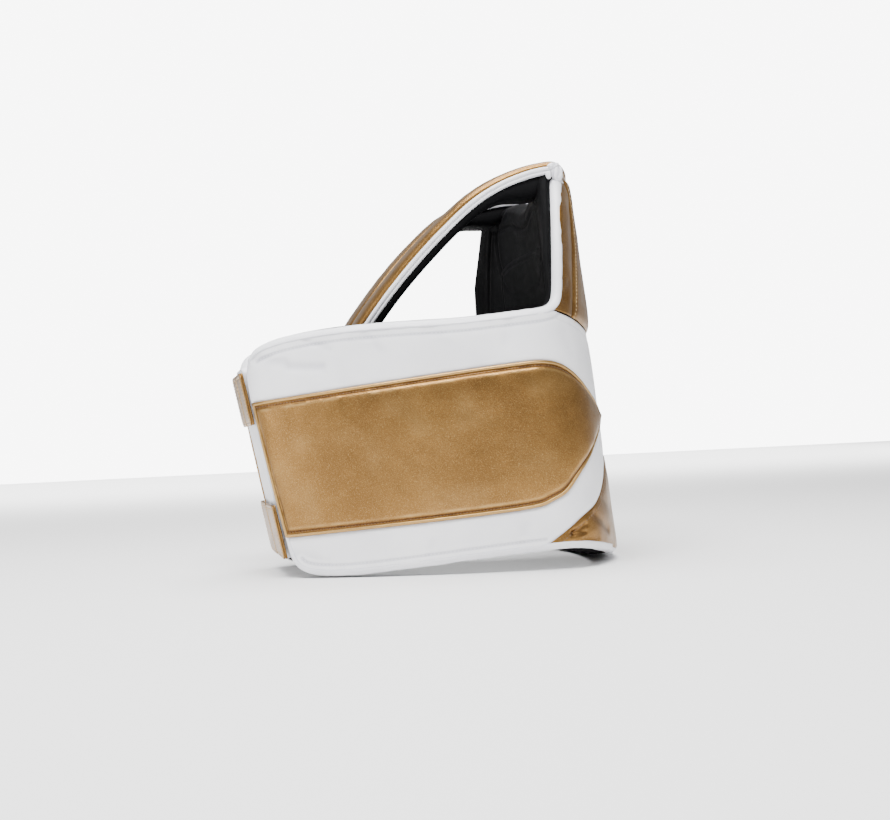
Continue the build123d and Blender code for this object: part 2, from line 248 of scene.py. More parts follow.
def rounded(points, step=1.5, times=4):
    """A path with its corners cut round, in equal steps."""
    path = np.asarray(points, float)
    for _ in range(times):
        near = 0.75 * path[:-1] + 0.25 * path[1:]
        far = 0.25 * path[:-1] + 0.75 * path[1:]
        middle = np.stack([near, far], 1).reshape(-1, path.shape[1])
        path = np.concatenate([path[:1], middle, path[-1:]])
    return resample(path, np.linspace(0, 1, max(8, int(run_of(path)[-1] / step))))


def inwards(path):
    """Directions to the right of travel along a path."""
    along = np.gradient(path, axis=0)
    along /= np.linalg.norm(along, axis=1)[:, None] + 1e-9
    return np.stack([along[:, 1], -along[:, 0]], -1)


def loop_inwards(loop):
    """Directions to the right of travel round a loop that doesn't repeat its first point."""
    return inwards(np.concatenate([loop[-2:], loop, loop[:2]]))[2:-2]


def beside(path, inward, off):
    """Places beside each point of a path, at rows of distances along its own direction."""
    return (path[:, None, i] + inward[:, None, i] * off for i in (0, 1))


def inset_by(path, amount):
    """A path moved to the right of travel."""
    return path + inwards(path) * amount


def closest(path, point):
    """The number of the path's point closest to a point."""
    return int(np.argmin(np.linalg.norm(path - np.asarray(point), axis=1)))


def distance_to(s, z, *paths):
    """Distance on the shell from each place to the nearest path, with both sides of the garment alike."""
    s, z = np.abs(s), np.asarray(z, float)
    best = np.full(s.shape, 1e9)
    for path in paths:
        for (s0, z0), (s1, z1) in zip(path[:-1], path[1:]):
            ds, dz = s1 - s0, z1 - z0
            share = np.clip(((s - s0) * ds + (z - z0) * dz) / (ds * ds + dz * dz + 1e-9), 0, 1)
            best = np.minimum(best, (s - s0 - share * ds) ** 2 + (z - z0 - share * dz) ** 2)
    return np.sqrt(best)


def spread(count, pull=0.55):
    """Shares from 0 to 1 that stand closer together at both ends."""
    even = np.linspace(0, 1, count)
    return (1 - pull) * even + pull * (0.5 - 0.5 * np.cos(np.pi * even))


def fill(bottom, top, left, right, across, up, pull=0.55):
    """A grid of (s, z) between four edges: bottom and top run the same way, left and right run upwards."""
    u, v = spread(across, pull), spread(up, pull)
    low, high = resample(bottom, u), resample(top, u)
    first, last = resample(left, v), resample(right, v)
    u, v = u[:, None, None], v[None, :, None]
    ruled = (1 - v) * low[:, None] + v * high[:, None]
    first_gap = first[None] - ((1 - v) * low[0] + v * high[0])
    last_gap = last[None] - ((1 - v) * low[-1] + v * high[-1])
    grid = ruled + (1 - u) * first_gap + u * last_gap
    return grid[..., 0], grid[..., 1]


OUTLINE = rounded(
    by_y(NECK_Y) + by_x(ARMHOLE_X) + by_x(WING_TOP_X) + by_x(REAR_X) + by_x(BOTTOM_X) + by_y(HEM_Y)
)
# Numbers of the outline's points where the pieces meet
K_CHEST = closest(OUTLINE, by_y([(-127, 440)])[0])
K_ARM = closest(OUTLINE, by_x([(107, 291.5)])[0])
K_TOP = closest(OUTLINE, by_x([(-210, 292)])[0])
K_LOW = closest(OUTLINE, by_x([(-195, 48)])[0])
K_GOLD = closest(OUTLINE, by_x([(67, 32)])[0])
GOLD_TOP = rounded(by_y(GOLD_TOP_Y) + by_x(GOLD_TOP_X))
GOLD_LOW = rounded(by_y(GOLD_LOW_Y) + by_x(GOLD_LOW_X))
INSET_TOP = rounded(by_x(INSET_TOP_X), times=3)
INSET_LOW = rounded(by_x(INSET_LOW_X), times=3)
INSET_REAR = np.array([INSET_LOW[0], INSET_TOP[0]])
INSET_EDGE = np.concatenate([INSET_TOP, INSET_LOW[::-1], INSET_TOP[:1]])
CHEST_SEAM = rounded(by_y(CHEST_SEAM_Y))
YOKE = rounded([(0.0, YOKE_Z), (90.0, YOKE_Z - 1), (160.0, YOKE_Z + 1), tuple(OUTLINE[K_ARM])])
# Rows of dress stitching
DRESS_LINE = inset_by(OUTLINE[K_ARM - 4 : K_TOP], 14.0)
GOLD_DRESS = GOLD_TOP + np.array([0.0, -9.0])
LOW_DRESS = inset_by(OUTLINE[K_LOW:K_GOLD], 12.0)
# A curved seam of the lining and the comfort pad, as (s, z)
PAD_LINE = rounded([(0, 325), (62, 328), (96, 340), (112, 375), (108, 418), (72, 437)])


# Relief


def ripple(s, z, size, seed):
    """Smooth random heights from -1 to 1, with features about size wide."""
    table = np.random.default_rng(seed).uniform(-1, 1, (64, 64))
    wide, tall = size if isinstance(size, tuple) else (size, size)
    u, v = np.asarray(s) / wide + 640, np.asarray(z) / tall + 640
    i, j = np.floor(u).astype(int), np.floor(v).astype(int)
    f, g = u - i, v - j
    f, g = f * f * (3 - 2 * f), g * g * (3 - 2 * g)
    low = table[i % 64, j % 64] * (1 - f) + table[(i + 1) % 64, j % 64] * f
    high = table[i % 64, (j + 1) % 64] * (1 - f) + table[(i + 1) % 64, (j + 1) % 64] * f
    return low * (1 - g) + high * g


def groove(away, width):
    """1 at a line, falling to 0 over its width."""
    return np.exp(-((away / width) ** 2))


def rolled(away):
    """How far the skin drops as it rolls over the outline's edge."""
    short = np.clip(EDGE_ROUND - away, 0, EDGE_ROUND)
    return EDGE_ROUND - np.sqrt(EDGE_ROUND**2 - short**2)


WING_CREASES = [
    ((-172, 268), (-138, 262), 2.4, 5.0), ((-205, 283), (-176, 274), 1.8, 5.0),
    ((-150, 293), (-128, 281), 1.6, 4.0), ((-90, 291), (-76, 272), 1.3, 5.0),
    ((-20, 287), (-8, 268), 0.7, 6.0), ((60, 285), (52, 262), 0.8, 6.0),
    ((-190, 62), (-160, 50), 1.0, 5.0), ((-60, 40), (-52, 58), 0.7, 5.0),
    ((40, 42), (48, 62), 0.8, 6.0), ((118, 262), (126, 240), 0.7, 7.0),
]
BELLY_CREASES = [
    ((97, 46), (113, 52), 2.2, 3.0), ((97, 46), (112, 45), 1.8, 3.0),
    ((130, 60), (150, 40), 1.2, 6.0), ((150, 74), (168, 56), 1.0, 7.0),
    ((112, 38), (128, 34), 0.9, 4.0),
]
CHEST_CREASES = [((128, 300), (138, 316), 1.2, 6.0), ((147, 420), (160, 432), 0.9, 5.0)]


def creased(s, z, creases):
    """Depth of the sewn-in creases, each a soft valley between two (x, z) points."""
    total = np.zeros(np.shape(s))
    for start, end, deep, wide in creases:
        total += deep * groove(distance_to(s, z, np.array(by_x([start, end]))), wide)
    return total


def white_height(s, z):
    """Height of the white leather over the shell."""
    edge = distance_to(s, z, OUTLINE)
    seam = distance_to(s, z, GOLD_TOP, GOLD_LOW)
    middle = np.abs(s)
    lift = 1.5 * (1 - np.exp(-np.minimum(np.minimum(edge, seam), middle) / 9))
    lift -= rolled(edge) + SEAM_DEEP * groove(seam, SEAM_WIDE) + 0.8 * groove(middle, 1.4)
    gather = np.exp(-edge / 20)
    lift += 0.55 * gather * ripple(s, z, (17, 60), 3) + 0.35 * gather * ripple(s, z, (8, 30), 4)
    lift += 0.6 * ripple(s, z, 55, 5) + 0.18 * ripple(s, z, 18, 6)
    dress = distance_to(s, z, DRESS_LINE, LOW_DRESS, GOLD_DRESS)
    lift -= 0.55 * groove(dress, 1.3) + 0.25 * groove(dress, 4.5)
    inset = distance_to(s, z, INSET_EDGE)
    upper = np.interp(middle, INSET_TOP[::-1, 0], INSET_TOP[::-1, 1], left=0, right=0)
    lower = np.interp(middle, INSET_LOW[::-1, 0], INSET_LOW[::-1, 1])
    under = (z < upper) & (z > lower)
    lift -= 1.0 * groove(inset, 3.0) + INSET_SINK * under * (1 - np.exp(-inset / 1.5))
    return lift - creased(s, z, WING_CREASES)


def gold_height(s, z):
    """Height of the gold leather of the chest and the belly over the shell."""
    edge = distance_to(s, z, OUTLINE)
    seam = distance_to(s, z, GOLD_TOP, GOLD_LOW)
    lift = 1.8 * (1 - np.exp(-np.minimum(edge, seam) / 10)) - rolled(edge)
    lift -= SEAM_DEEP * groove(seam, SEAM_WIDE)
    chest = distance_to(s, z, CHEST_SEAM)
    seam_s = np.interp(z, CHEST_SEAM[::-1, 1], CHEST_SEAM[::-1, 0])
    inside = (np.abs(s) < seam_s) & (z > CHEST_PUFFED_Z)
    lift += np.where(inside, 3.4 * (1 - np.exp(-chest / 4.0)) * (1 - np.exp(-seam / 5)), 0.0)
    sewn = 1.6 * groove(chest, 2.0) + 0.5 * groove(chest - CHEST_ROW, 1.2) * inside
    lift -= np.where(z > CHEST_SEAM_Z, sewn, 0.0)
    strip = (~inside) & (z > STRIP_Z)
    lift += np.where(strip, 1.6 * np.exp(-(((edge - 20) / 13) ** 2)), 0.0)
    lift += 0.6 * ripple(s, z, 48, 15) + 0.22 * ripple(s, z, 15, 16)
    lift += 0.5 * np.exp(-edge / 16) * ripple(s, z, (14, 40), 17)
    return lift - creased(s, z, BELLY_CREASES) - creased(s, z, CHEST_CREASES)


def inset_height(s, z):
    """Height of the raised gold inset over the shell."""
    edge = distance_to(s, z, INSET_EDGE)
    lift = 1.4 + 3.0 * (1 - np.exp(-np.maximum(edge - 4.5, 0) / 2.2)) + 4.2 * (1 - np.exp(-edge / 12))
    lift -= 1.1 * groove(edge - INSET_SEAM, 1.1) + 1.2 * groove(edge, 1.5)
    lift += 0.5 * ripple(s, z, 60, 25) + 0.16 * ripple(s, z, 14, 26)
    gather = np.exp(-np.maximum(edge - 6, 0) / 9)
    return lift + 0.32 * gather * ripple(s, z, (7, 26), 27)


def lining_places(s, z):
    """World places of the lining's face and back. It wraps round the rim to meet the binding and swells
    past the outline, most of all into the armhole."""
    edge = distance_to(s, z, OUTLINE)
    full = thickness(s)
    short = np.clip((LINING_ROUND - edge) / LINING_ROUND, 0, 1)
    bulge = np.maximum(1 - short**RIM_POWER, 0) ** (1 / RIM_POWER)
    soft = 1 - short
    relief = 0.9 * ripple(s, z, 50, 35) + 0.35 * ripple(s, z, (16, 45), 36)
    stitched = np.minimum(distance_to(s, z, YOKE, PAD_LINE), np.abs(edge - LINING_ROW))
    relief -= 1.5 * groove(stitched, 2.2) - 0.9 * groove(stitched - 6, 4)
    start = BINDING_BACK - 0.6
    depth = start + (full - start) * bulge + soft * relief
    places = np.stack([np.abs(s), z], -1)
    nearest = np.argmin(np.linalg.norm(places[:, :, None] - OUTLINE[None, None, ::3], axis=-1), axis=-1)
    puff = np.interp(z, PUFF_Z, (WING_PUFF, CHEST_PUFF)) * np.interp(np.abs(s), PUFF_S, (0.25, 1.0))
    push = puff * 4 * bulge * (1 - bulge) * (short > 0)
    out = -inwards(OUTLINE)[::3][nearest] * push[..., None]
    s_out, z_out = np.sign(s) * np.maximum(np.abs(s) + out[..., 0], 0), z + out[..., 1]
    face = shell(s_out, z_out, depth)
    return face, shell(s_out, z_out, np.maximum(depth - LINING_THICK, start - 0.4))


def pad_depth(s, z, edge_path):
    """Depth of the comfort pad's face."""
    edge = distance_to(s, z, edge_path)
    rise = 1.0 + 3.0 * (1 - np.exp(-edge / 4)) + 0.4 * ripple(s, z, 45, 45)
    rise -= 1.0 * groove(edge - 7, 1.6) + 1.0 * groove(distance_to(s, z, PAD_LINE), 2.0)
    return thickness(s) + rise


# Meshes


def mesh(name, places, quads, triangles=(), tone=None):
    """A smooth mesh object turned outside out. tone is a value for each place that the materials use."""
    places = np.asarray(places, float).reshape(-1, 3)
    quads = np.asarray(quads, int).reshape(-1, 4)
    triangles = np.asarray(triangles, int).reshape(-1, 3)
    split = np.concatenate([quads[:, [0, 1, 2]], quads[:, [0, 2, 3]], triangles])
    a, b, c = (places[split[:, i]] - places.mean(0) for i in range(3))
    if np.einsum("ij,ij->i", a, np.cross(b, c)).sum() < 0:
        quads, triangles = quads[:, ::-1], triangles[:, ::-1]
    data = bpy.data.meshes.new(name)
    data.from_pydata(places.tolist(), [], quads.tolist() + triangles.tolist())
    data.polygons.foreach_set("use_smooth", [True] * len(data.polygons))
    if tone is not None:
        layer = data.attributes.new("tone", "FLOAT", "POINT")
        layer.data.foreach_set("value", np.asarray(tone, np.float32).ravel())
    data.update()
    thing = bpy.data.objects.new(name, data)
    bpy.context.scene.collection.objects.link(thing)
    return thing


def quads_over(ids):
    """Quads over a grid of place numbers."""
    return np.stack([ids[:-1, :-1], ids[1:, :-1], ids[1:, 1:], ids[:-1, 1:]], -1).reshape(-1, 4)


def wrapped(ids):
    """Rows of place numbers, each closed into a loop."""
    return np.concatenate([ids, ids[:, :1]], axis=1)


def slab(name, face, back, tone=None):
    """A closed sheet between two grids of places."""
    rows, columns = face.shape[:2]
    ids = np.arange(rows * columns).reshape(rows, columns)
    front = quads_over(ids)
    rim = np.concatenate([ids[:, 0], ids[-1, 1:], ids[-2::-1, -1], ids[0, -2:0:-1]])
    after = np.roll(rim, -1)
    walls = np.stack([rim, rim + ids.size, after + ids.size, after], -1)
    places = np.concatenate([face.reshape(-1, 3), back.reshape(-1, 3)])
    tones = None if tone is None else np.concatenate([tone.ravel(), tone.ravel()])
    return mesh(name, places, np.concatenate([front, front[:, ::-1] + ids.size, walls]), tone=tones)


def tube(name, rings, closed=False, tone=None):
    """A closed skin over a row of rings, each a loop of the same number of places."""
    count, around = rings.shape[:2]
    ids = np.arange(count * around).reshape(count, around)
    quads = quads_over(wrapped(np.concatenate([ids, ids[:1]]) if closed else ids))
    places = rings.reshape(-1, 3)
    triangles = np.zeros((0, 3), int)
    if not closed:
        places = np.concatenate([places, rings[:1].mean(1), rings[-1:].mean(1)])
        first = np.stack([ids[0], np.roll(ids[0], -1), np.full(around, ids.size)], -1)
        last = np.stack([np.roll(ids[-1], -1), ids[-1], np.full(around, ids.size + 1)], -1)
        triangles = np.concatenate([first, last])
    tones = None if tone is None else np.concatenate([np.ravel(tone), [0, 0]])[: len(places)]
    return mesh(name, places, quads, triangles, tones)


def stitches(name, spots, ahead, away, long=2.8, wide=0.55, high=0.5):
    """Rows of thread, one short stitch at each spot. Spots are world metres and sizes millimetres."""
    turn = circle(6)
    stops = np.array([-0.5, -0.34, 0.0, 0.34, 0.5]) * long
    swell = np.array([0.12, 0.8, 1.0, 0.8, 0.12])
    aside = np.cross(away, ahead)
    ring = aside[:, None] * np.cos(turn)[None, :, None] * wide
    ring = ring + away[:, None] * np.sin(turn)[None, :, None] * high
    rings = spots[:, None, None] + (
        ahead[:, None, None] * stops[None, :, None, None] + ring[:, None] * swell[None, :, None, None]
    ) / 1000
    ids = np.arange(len(stops) * len(turn)).reshape(len(stops), len(turn))
    ends = [ids[0, :4], ids[0, [0, 3, 4, 5]], ids[-1, [0, 3, 2, 1]], ids[-1, [0, 5, 4, 3]]]
    quads = np.concatenate([quads_over(wrapped(ids)), ends])
    offsets = (np.arange(len(spots)) * ids.size)[:, None, None]
    return mesh(name, rings.reshape(-1, 3), (quads[None] + offsets).reshape(-1, 4))


def shell_stitches(name, path, side, height, pitch=4.2, **size):
    """Stitches along a path on the shell, lying on a height over it."""
    spots = resample(path, np.linspace(0, 1, max(2, int(run_of(path)[-1] / pitch))))
    s, z = spots[:, 0], spots[:, 1]
    depth = -height(side * s, z)
    step = unit(np.gradient(spots, axis=0))
    here = shell(side * s, z, depth)
    ahead = unit(shell(side * (s + step[:, 0]), z + step[:, 1], depth) - here)
    away = unit(shell(side * s, z, depth - 1) - here)
    return stitches(name, here, ahead, away, **size)


# Materials


def put(node, values):
    """Sets a node's own socket values."""
    for socket, value in values.items():
        node.inputs[socket].default_value = value


def spanned(tree, value, low, high, to_low, to_high):
    """A value mapped from one range to another."""
    node = tree.nodes.new("ShaderNodeMapRange")
    put(node, {"From Min": low, "From Max": high, "To Min": to_low, "To Max": to_high})
    tree.links.new(value, node.inputs["Value"])
    return node.outputs["Result"]


SHEEN_ROUGH, COAT_ROUGH = 0.45, 0.3


def material(
    name, plain, deep, bright, metal, rough, grain, bump, sheen=0.0, coat=0.0, speck=0.0, weave=False,
    shine=0.5, blotch=0.2,
):
    """A leather, cloth or thread. The deep colour shows in soft patches and where the tone attribute is low,
    as painted shade; the bright one shows in specks and where it is high, as painted highlight and wear."""
    made = bpy.data.materials.new(name)
    made.use_nodes = True
    tree = made.node_tree
    nodes, links = tree.nodes, tree.links
    shader = nodes["Principled BSDF"]
    put(shader, {"Metallic": metal, "Specular IOR Level": shine})
    put(shader, {"Sheen Weight": sheen, "Sheen Roughness": SHEEN_ROUGH})
    put(shader, {"Coat Weight": coat, "Coat Roughness": COAT_ROUGH})
    place = nodes.new("ShaderNodeTexCoord")

    def noise(scale, detail, roughness=0.55):
        node = nodes.new("ShaderNodeTexNoise")
        put(node, {"Scale": scale, "Detail": detail, "Roughness": roughness})
        links.new(place.outputs["Object"], node.inputs["Vector"])
        return node.outputs["Fac"]

    def mixed(first, second, share):
        node = nodes.new("ShaderNodeMix")
        node.data_type = "RGBA"
        for socket, value in ((node.inputs[6], first), (node.inputs[7], second)):
            if isinstance(value, tuple):
                socket.default_value = (*value, 1)
            else:
                links.new(value, socket)
        links.new(share, node.inputs[0])
        return node.outputs[2]

    def bumped(height, strength, distance, before=None):
        node = nodes.new("ShaderNodeBump")
        put(node, {"Strength": strength, "Distance": distance})
        links.new(height, node.inputs["Height"])
        if before:
            links.new(before, node.inputs["Normal"])
        return node.outputs["Normal"]

    tone = nodes.new("ShaderNodeAttribute")
    tone.attribute_name = "tone"
    cells = nodes.new("ShaderNodeTexVoronoi")
    put(cells, {"Scale": grain, "Randomness": 0.25 if weave else 1.0})
    links.new(place.outputs["Object"], cells.inputs["Vector"])
    broad = spanned(tree, noise(14, 3), 0.3, 0.7, 0.0, blotch)
    colour = mixed(plain, deep, broad)
    fine = noise(grain * 1.7, 2, 0.7)
    if speck:
        colour = mixed(colour, bright, spanned(tree, fine, 0.52, 0.78, 0.0, speck))
        colour = mixed(colour, deep, spanned(tree, noise(grain * 0.9, 2), 0.5, 0.25, 0.0, speck))
    # Painted shade where the tone attribute is below 0, painted highlight and wear where it is above 0.
    colour = mixed(colour, deep, spanned(tree, tone.outputs["Fac"], 0.0, -1.0, 0.0, 0.9))
    colour = mixed(colour, bright, spanned(tree, tone.outputs["Fac"], 0.0, 1.0, 0.0, 0.55))
    links.new(colour, shader.inputs["Base Color"])
    links.new(spanned(tree, noise(55, 4), 0.3, 0.7, rough - 0.05, rough + 0.07), shader.inputs["Roughness"])
    normal = bumped(cells.outputs["Distance"], bump, 0.00035)
    normal = bumped(noise(190, 4), bump * 0.5, 0.0008, normal)
    normal = bumped(fine, bump * 0.3, 0.00022, normal)
    links.new(normal, shader.inputs["Normal"])
    return made


GOLD = material(
    "gold_leather", (0.24, 0.125, 0.034), (0.11, 0.05, 0.013), (0.9, 0.6, 0.25), 0.92, 0.33, 760, 0.3,
    coat=0.05, speck=0.42, blotch=0.5,
)
WHITE = material(
    "white_leather", (0.84, 0.84, 0.86), (0.4, 0.4, 0.46), (0.9, 0.9, 0.91), 0.0, 0.42, 900, 0.22,
    sheen=0.05, coat=0.1,
)
TRIM = material(
    "binding", (0.82, 0.82, 0.85), (0.45, 0.45, 0.52), (0.9, 0.9, 0.91), 0.0, 0.4, 1100, 0.18,
    sheen=0.05, coat=0.15,
)
BLACK = material(
    "lining", (0.004, 0.004, 0.0045), (0.002, 0.002, 0.0022), (0.012, 0.012, 0.014), 0.0, 0.75, 1500, 0.4,
    weave=True, shine=0.06,
)
HOOK = material(
    "hook_tape", (0.012, 0.012, 0.013), (0.004, 0.004, 0.004), (0.06, 0.06, 0.062), 0.0, 0.7, 900, 1.0,
    weave=True,
)
LOOP = material(
    "loop_tape", (0.8, 0.8, 0.83), (0.6, 0.6, 0.64), (0.92, 0.92, 0.93), 0.0, 0.9, 650, 1.0, sheen=0.5
)
THREAD_WHITE = material(
    "white_thread", (0.7, 0.7, 0.73), (0.5, 0.5, 0.55), (0.9, 0.9, 0.9), 0.0, 0.55, 2500, 0.5, sheen=0.2
)
THREAD_BROWN = material(
    "brown_thread", (0.16, 0.085, 0.035), (0.08, 0.04, 0.02), (0.4, 0.25, 0.12), 0.0, 0.5, 2500, 0.5,
    sheen=0.2,
)
THREAD_GOLD = material(
    "gold_thread", (0.62, 0.42, 0.2), (0.3, 0.17, 0.07), (0.95, 0.75, 0.45), 0.1, 0.45, 2500, 0.5, sheen=0.2
)


def dressed(piece, look):
    """Gives a piece its material and slot."""
    piece.data.materials.clear()
    piece.data.materials.append(look)
    return piece


SIDES = {1: "right", -1: "left"}


def bend(piece):
    """A piece of one side that crosses from the shield to the wing, with its placing baked into its mesh."""
    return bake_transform(piece)


def shade_highlight_and_wear(s, z, seams, creases=(), crease_shade=0.18):
    """Painted shade at seams and in creases, with lighter crests just beside the seams that are partly wear
    and partly painted highlight.
    """
    away = distance_to(s, z, *seams)
    tone = 0.55 * groove(away - 4.0, 1.6) * (0.5 + 0.5 * ripple(s, z, 9, 71)) - 0.75 * groove(away, 1.7)
    return np.clip(tone - crease_shade * creased(s, z, creases) + 0.1 * ripple(s, z, 26, 72), -1, 1)


# Covers of the shield and the wings

BOTTOM_EDGE = inset_by(OUTLINE[K_LOW:K_GOLD], TUCK)[::-1]
TOP_EDGE = inset_by(OUTLINE[K_ARM:K_TOP], TUCK)
REAR_EDGE = inset_by(OUTLINE[K_TOP : K_LOW + 1], TUCK)[::-1]
CENTRE_SEAM = np.array([GOLD_LOW[0], GOLD_TOP[0]])

for side, name in SIDES.items():
    low = np.concatenate([GOLD_LOW, BOTTOM_EDGE])
    high = np.concatenate([GOLD_TOP, TOP_EDGE])
    s, z = fill(low, high, CENTRE_SEAM, REAR_EDGE, 300, 130)
    s = s * side
    lift = white_height(s, z)
    tone = shade_highlight_and_wear(s, z, [DRESS_LINE, LOW_DRESS, GOLD_TOP, GOLD_LOW, INSET_EDGE], WING_CREASES, 0.2)
    cover = slab(f"{name}_white_cover", shell(s, z, -lift), shell(s, z, LEATHER - lift), tone)
    dressed(cover, WHITE)
    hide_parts(f"{name}_wing_cover", f"{name}_wing_foam", "front_band_cover")
    bend(cover)
    for row, path in (("top", DRESS_LINE), ("lower", LOW_DRESS), ("front", GOLD_DRESS)):
        thread = shell_stitches(f"{name}_{row}_stitching", path, side, white_height)
        bend(dressed(thread, THREAD_WHITE))

    s, z = fill(INSET_LOW, INSET_TOP, INSET_REAR, np.array([INSET_LOW[-1], INSET_TOP[-1]]), 330, 110)
    s = s * side
    lift = inset_height(s, z)
    tone = shade_highlight_and_wear(s, z, [inset_by(INSET_TOP, -INSET_SEAM), inset_by(INSET_LOW, INSET_SEAM), INSET_EDGE])
    inset = slab(f"{name}_gold_inset", shell(s, z, -lift), shell(s, z, INSET_BACK), tone)
    dressed(inset, GOLD)
    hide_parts(f"{name}_wing_inset", f"{name}_inset_tip")
    bend(inset)
    upper_row, lower_row = inset_by(INSET_TOP[:-8], -INSET_SEAM), inset_by(INSET_LOW[:-8], INSET_SEAM)
    inner_edge = np.concatenate([upper_row, lower_row[::-1], upper_row[:1]])
    thread = shell_stitches(f"{name}_inset_stitching", inner_edge, side, inset_height, pitch=3.6, wide=0.5)
    bend(dressed(thread, THREAD_BROWN))
    loop = resample(INSET_EDGE, np.linspace(0, 1, PIPING_STEPS)[:-1])
    turn = circle(12)
    pinch = 1 + 0.05 * ripple(loop[:, 0], loop[:, 1], 6, 81)[:, None]
    off = PIPING_IN + PIPING_WIDE * np.cos(turn)[None] * pinch
    up = PIPING_UP + PIPING_TALL * np.sin(turn)[None] * pinch
    s, z = beside(loop, -loop_inwards(loop), off)
    places = shell(side * s, z, -up)
    # The outward half of the piping is lighter, partly wear and partly painted highlight.
    wear_and_highlight = np.broadcast_to(0.5 * np.maximum(np.sin(turn), 0)[None], off.shape)
    piping = tube(f"{name}_inset_piping", places, closed=True, tone=wear_and_highlight)
    bend(dressed(piping, GOLD))


MIRROR = np.array([-1, 1])


def both(path):
    """A path from the middle to the wearer's right, run from the far left to the far right."""
    path = np.asarray(path)
    return np.concatenate([path[:0:-1] * MIRROR, path])


chest_side = inset_by(OUTLINE[K_CHEST : K_ARM + 1], TUCK)[::-1]
neck = both(inset_by(OUTLINE[:K_CHEST], TUCK))
s, z = fill(both(GOLD_TOP), neck, chest_side * MIRROR, chest_side, 260, 110)
tone = shade_highlight_and_wear(s, z, [CHEST_SEAM], CHEST_CREASES)
lift = gold_height(s, z)
chest = slab("chest_gold_cover", shell(s, z, -lift), shell(s, z, LEATHER - lift), tone)
dressed(chest, GOLD)
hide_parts("chest_cover", "strike_foam", "shield_foam")
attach(chest, "front_shield")

hem = inset_by(OUTLINE[K_GOLD:], TUCK)[::-1]
corner = np.array([hem[-1], GOLD_LOW[-1]])
s, z = fill(both(hem), both(GOLD_LOW), corner * MIRROR, corner, 260, 80)
tone = shade_highlight_and_wear(s, z, [LOW_DRESS], BELLY_CREASES)
lift = gold_height(s, z)
belly = slab("belly_gold_cover", shell(s, z, -lift), shell(s, z, LEATHER - lift), tone)
dressed(belly, GOLD)
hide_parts("belly_cover")
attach(belly, "front_shield")
for side, name in SIDES.items():
    row = inset_by(CHEST_SEAM, CHEST_ROW)
    thread = shell_stitches(f"{name}_chest_stitching", row, side, gold_height, pitch=4.5, wide=0.7)
    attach(dressed(thread, THREAD_GOLD), "front_shield")
    row = GOLD_LOW[:-10] + np.array([-5.0, -5.0])
    row = row[row[:, 0] > 0]
    thread = shell_stitches(f"{name}_belly_stitching", row, side, gold_height, pitch=4.5)
    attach(dressed(thread, THREAD_BROWN), "front_shield")

# Binding round the outline: a folded strip with a rounded face and a back that meets the lining

arc = np.radians(np.linspace(99, 180, 9))
outer_round = EDGE_ROUND + BINDING_OUT
SECTION = [(EDGE_ROUND + outer_round * math.cos(t), EDGE_ROUND - outer_round * math.sin(t)) for t in arc]
SECTION += [(-BINDING_OUT, 10.2), (-0.2, BINDING_BACK + 0.4), (1.4, BINDING_BACK + 0.8)]
SECTION += [(3.4, BINDING_BACK - 1.0), (4.2, 6.0), (BINDING_IN, 1.2), (BINDING_IN + 0.4, -0.2)]
SECTION = np.array(SECTION)

for side, name in SIDES.items():
    path = resample(OUTLINE, np.linspace(0, 1, BINDING_STEPS))
    s, z = path[:, None, 0], path[:, None, 1]
    puff = 0.28 * ripple(s * side + SECTION[None, :, 1] * 3, z, (6, 6), 91)
    puff = puff + 0.35 * ripple(s * side, z + SECTION[None, :, 0] * 4, (28, 28), 92)
    off = SECTION[None, :, 0] - puff * (SECTION[None, :, 0] < 0)
    deep = SECTION[None, :, 1] - puff * (SECTION[None, :, 1] < 2)
    s, z = beside(path, inwards(path), off)
    places = shell(side * np.maximum(s, 0), z, deep)
    # The binding's edges against the cover are darker, as painted shade in the joint; the rest of the strip
    # is slightly lighter.
    tone = np.broadcast_to(np.where(SECTION[:, 0] > BINDING_IN - 1, -0.5, 0.1)[None], off.shape)
    binding = tube(f"{name}_edge_binding", places, tone=tone)
    dressed(binding, TRIM)
    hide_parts(f"{name}_wing_binding", "neck_and_armhole_binding", "lower_binding")
    bend(binding)

# Linings

for side, name in SIDES.items():
    low = OUTLINE[K_LOW:][::-1]
    high = np.concatenate([YOKE[:-1], OUTLINE[K_ARM : K_TOP + 1]])
    rear = OUTLINE[K_TOP : K_LOW + 1][::-1]
    s, z = fill(low, high, np.array([low[0], high[0]]), rear, 230, 130, RIM_PULL)
    face, back = lining_places(s * side, z)
    lining = slab(f"{name}_side_lining", face, back)
    dressed(lining, BLACK)
    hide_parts(f"{name}_wing_lining", "shield_lining")
    bend(lining)

side_edge = OUTLINE[K_CHEST : K_ARM + 1][::-1]
neck = both(OUTLINE[: K_CHEST + 1])
s, z = fill(both(YOKE), neck, side_edge * MIRROR, side_edge, 220, 110, RIM_PULL)
face, back = lining_places(s, z)
yoke = slab("chest_lining", face, back)
dressed(yoke, BLACK)
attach(yoke, "front_shield")

PAD_HALF = 118.0
PAD_LOW, PAD_HIGH = 57.0, 373.0
PAD_ROUND = 45.0
pad_low = rounded([(0, PAD_LOW), (PAD_HALF - PAD_ROUND, PAD_LOW), (PAD_HALF - 10, PAD_LOW + 10)])
pad_high = pad_low * np.array([1, -1]) + np.array([0, PAD_LOW + PAD_HIGH])
pad_side = rounded(
    [pad_low[-1], (PAD_HALF, PAD_LOW + PAD_ROUND), (PAD_HALF, PAD_HIGH - PAD_ROUND), pad_high[-1]]
)
pad_edge = np.concatenate([pad_low, pad_side, pad_high[::-1]])
s, z = fill(both(pad_low), both(pad_high), pad_side * MIRROR, pad_side, 120, 120)
depth = pad_depth(s, z, pad_edge)
pad = slab("comfort_pad_face", shell(s, z, depth), shell(s, z, thickness(s) - 1.0))
dressed(pad, BLACK)
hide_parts("comfort_pad")
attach(pad, "front_shield")

# Shoulder straps

